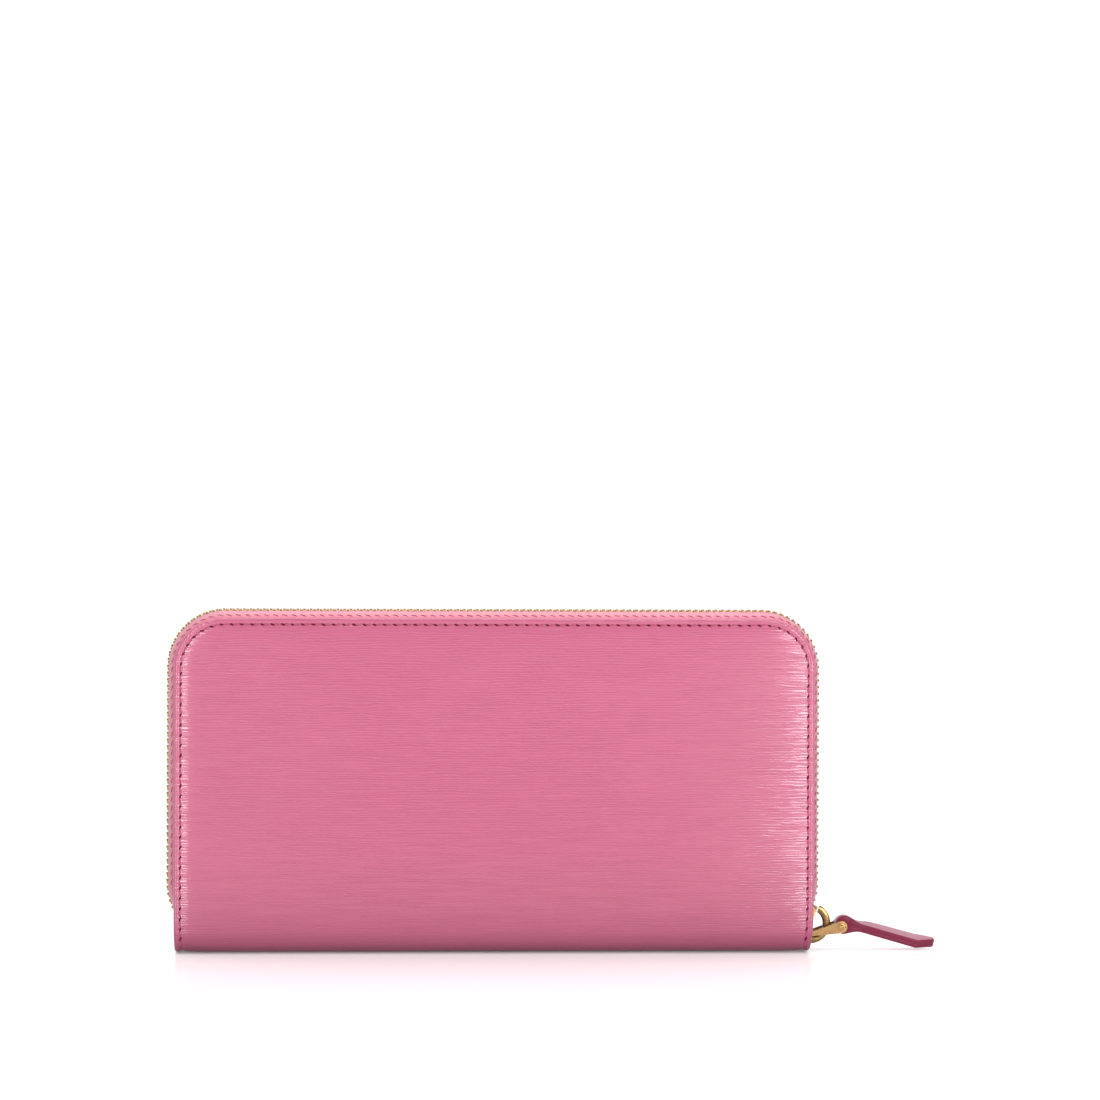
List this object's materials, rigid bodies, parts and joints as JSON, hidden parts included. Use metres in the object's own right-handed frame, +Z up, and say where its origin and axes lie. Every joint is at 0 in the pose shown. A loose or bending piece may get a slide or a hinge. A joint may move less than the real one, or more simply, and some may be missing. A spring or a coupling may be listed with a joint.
{
  "type": "zip-around wallet",
  "caption": "Long zip-around leather wallet standing on its spine: two hinged covers, card slots, central zipped coin purse, metal zip and a leather pull tab.",
  "frame": {"origin": "centre of the flat underside of the spine, on the surface the wallet stands on", "axes": "+X along the wallet towards the parked zip slider, -Y out of the front cover, +Z up from the spine to the top of the zip"},
  "size_m": [0.2312, 0.025, 0.1023],
  "materials": {
    "outer_leather": "glossy calf with a fine wavy horizontal grain",
    "tab_leather": "doubled strap with painted dark pink edges",
    "card_leather": "smooth thin lining calf",
    "gusset_leather": "soft thin calf, folded",
    "lining_fabric": "fine woven lining",
    "stiffener": "pressed fibre board",
    "zip_tape": "herringbone woven tape",
    "gold_metal": "polished, light gold plated"
  },
  "bodies": {
    "spine": {"spine_leather": "outer_leather", "spine_lining": "lining_fabric", "coin_purse_front": "gusset_leather", "coin_purse_back": "gusset_leather", "coin_purse_gusset": "gusset_leather", "coin_zip_tape_front": "zip_tape", "coin_zip_tape_back": "zip_tape", "coin_zip_teeth_front": "gold_metal", "coin_zip_teeth_back": "gold_metal", "coin_zip_stops": "gold_metal", "right_tape_ends": "zip_tape", "left_tape_ends": "zip_tape", "right_end_teeth": "gold_metal", "left_end_teeth": "gold_metal", "zip_stops": "gold_metal"},
    "front_cover": {"front_cover_leather": "outer_leather", "front_cover_board": "stiffener", "front_cover_lining": "lining_fabric", "front_zip_tape": "zip_tape", "front_zip_teeth": "gold_metal", "front_card_slot_1": "card_leather", "front_card_slot_2": "card_leather", "front_card_slot_3": "card_leather", "front_card_slot_4": "card_leather", "gusset_front_left": "gusset_leather", "gusset_front_right": "gusset_leather"},
    "back_cover": {"back_cover_leather": "outer_leather", "back_cover_board": "stiffener", "back_cover_lining": "lining_fabric", "back_zip_tape": "zip_tape", "back_zip_teeth": "gold_metal", "back_card_slot_1": "card_leather", "back_card_slot_2": "card_leather", "back_card_slot_3": "card_leather", "back_card_slot_4": "card_leather", "gusset_back_left": "gusset_leather", "gusset_back_right": "gusset_leather"},
    "zip_slider": {"zip_slider": "gold_metal"},
    "pull_shackle": {"puller_shackle": "gold_metal", "puller_pin": "gold_metal"},
    "pull_tab": {"puller_tab": "tab_leather"},
    "coin_slider": {"coin_slider": "gold_metal"},
    "coin_puller": {"coin_puller": "gold_metal"}
  },
  "joints": [
    {"name": "front_cover_open", "type": "hinge", "parent": "spine", "child": "front_cover", "pos_m": [0, -0.0125, 0.00815], "axis": [1, 0, 0], "range_deg": [0, 30], "deforming": ["gusset_front_left", "gusset_front_right"]},
    {"name": "back_cover_open", "type": "hinge", "parent": "spine", "child": "back_cover", "pos_m": [0, 0.0125, 0.00815], "axis": [-1, 0, 0], "range_deg": [0, 30], "deforming": ["gusset_back_left", "gusset_back_right"]},
    {"name": "zip_travel", "type": "hinge", "parent": "spine", "child": "zip_slider", "pos_m": [0.05106, 0, 0.0258], "axis": [0, -1, 0], "range_deg": [0, 22], "deforming": ["front_zip_tape", "back_zip_tape", "front_zip_teeth", "back_zip_teeth", "right_tape_ends", "right_end_teeth"]},
    {"name": "pull_swing", "type": "hinge", "parent": "zip_slider", "child": "pull_shackle", "pos_m": [0.09565, 0, 0.00779], "axis": [0, -1, 0], "range_deg": [0, 45]},
    {"name": "tab_swing", "type": "hinge", "parent": "pull_shackle", "child": "pull_tab", "pos_m": [0.10485, 0, 0.00675], "axis": [0, -1, 0], "range_deg": [0, 38]},
    {"name": "coin_zip_travel", "type": "slide", "parent": "spine", "child": "coin_slider", "axis": [-1, 0, 0], "range_m": [0, 0.131], "deforming": ["coin_zip_tape_front", "coin_zip_tape_back", "coin_zip_teeth_front", "coin_zip_teeth_back"]},
    {"name": "coin_pull_swing", "type": "hinge", "parent": "coin_slider", "child": "coin_puller", "pos_m": [0.0619, 0, 0.0794], "axis": [0, -1, 0], "range_deg": [0, 165]}
  ]
}
